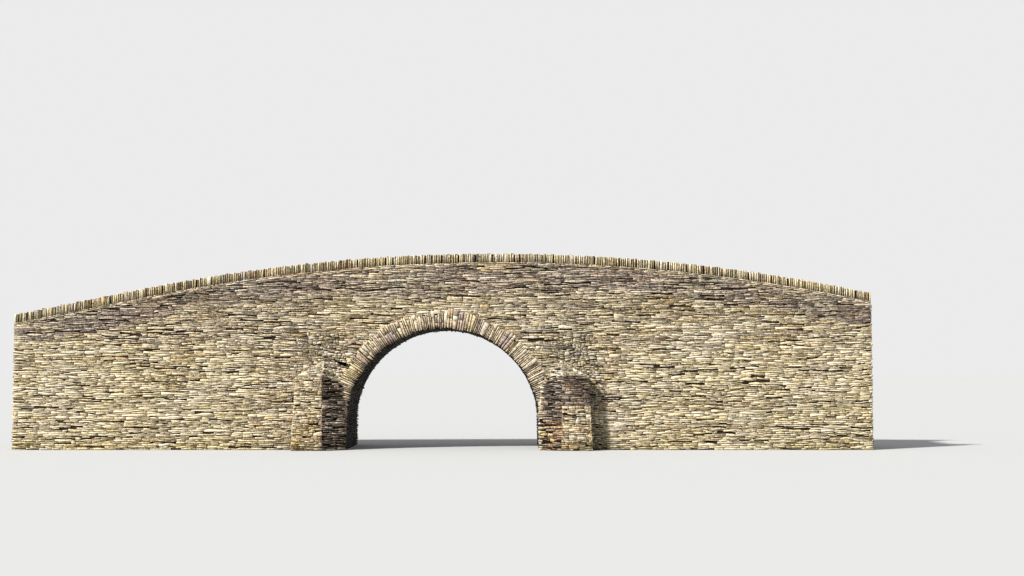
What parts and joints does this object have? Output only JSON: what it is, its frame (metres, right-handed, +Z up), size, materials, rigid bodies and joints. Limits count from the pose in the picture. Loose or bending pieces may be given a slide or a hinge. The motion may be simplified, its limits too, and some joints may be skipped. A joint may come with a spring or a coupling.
{
  "type": "humped rubble stone arch bridge",
  "caption": "Humped rubble stone arch bridge: one semicircular span with a ring of thin slab voussoirs, battered buttresses, long wing walls and edge-set coping.",
  "frame": {"origin": "water level on the centre line of the waterway, midway between the two faces", "axes": "+X along the road to the right as seen from the front, +Y across the bridge from front to rear, +Z up"},
  "size_m": [36.4, 6, 8.3454],
  "materials": {
    "arch_stone": "split slab faces, lichened",
    "walling_stone": "thin coursed rubble, weathered buff and grey",
    "buttress_stone": "thin coursed rubble, darker and damp",
    "parapet_stone": "thin coursed rubble, purple grey",
    "coping_stone": "slabs set on edge, rough split",
    "rubble_fill": "packed rubble hearting",
    "road_gravel": "rolled gravel and dust"
  },
  "bodies": {
    "root": {"arch_barrel": "arch_stone", "roadway": "road_gravel", "left_abutment": "walling_stone", "left_fill": "rubble_fill", "right_abutment": "walling_stone", "right_fill": "rubble_fill", "front_arch_ring": "arch_stone", "front_left_spandrel": "walling_stone", "front_left_wing_wall": "walling_stone", "front_left_buttress": "buttress_stone", "front_right_spandrel": "walling_stone", "front_right_wing_wall": "walling_stone", "front_right_buttress": "buttress_stone", "front_left_parapet": "parapet_stone", "front_left_coping": "coping_stone", "front_crest_parapet": "parapet_stone", "front_crest_coping": "coping_stone", "front_right_parapet": "parapet_stone", "front_right_coping": "coping_stone", "rear_arch_ring": "arch_stone", "rear_left_spandrel": "walling_stone", "rear_left_wing_wall": "walling_stone", "rear_left_buttress": "buttress_stone", "rear_right_spandrel": "walling_stone", "rear_right_wing_wall": "walling_stone", "rear_right_buttress": "buttress_stone", "rear_left_parapet": "parapet_stone", "rear_left_coping": "coping_stone", "rear_crest_parapet": "parapet_stone", "rear_crest_coping": "coping_stone", "rear_right_parapet": "parapet_stone", "rear_right_coping": "coping_stone"}
  },
  "joints": []
}
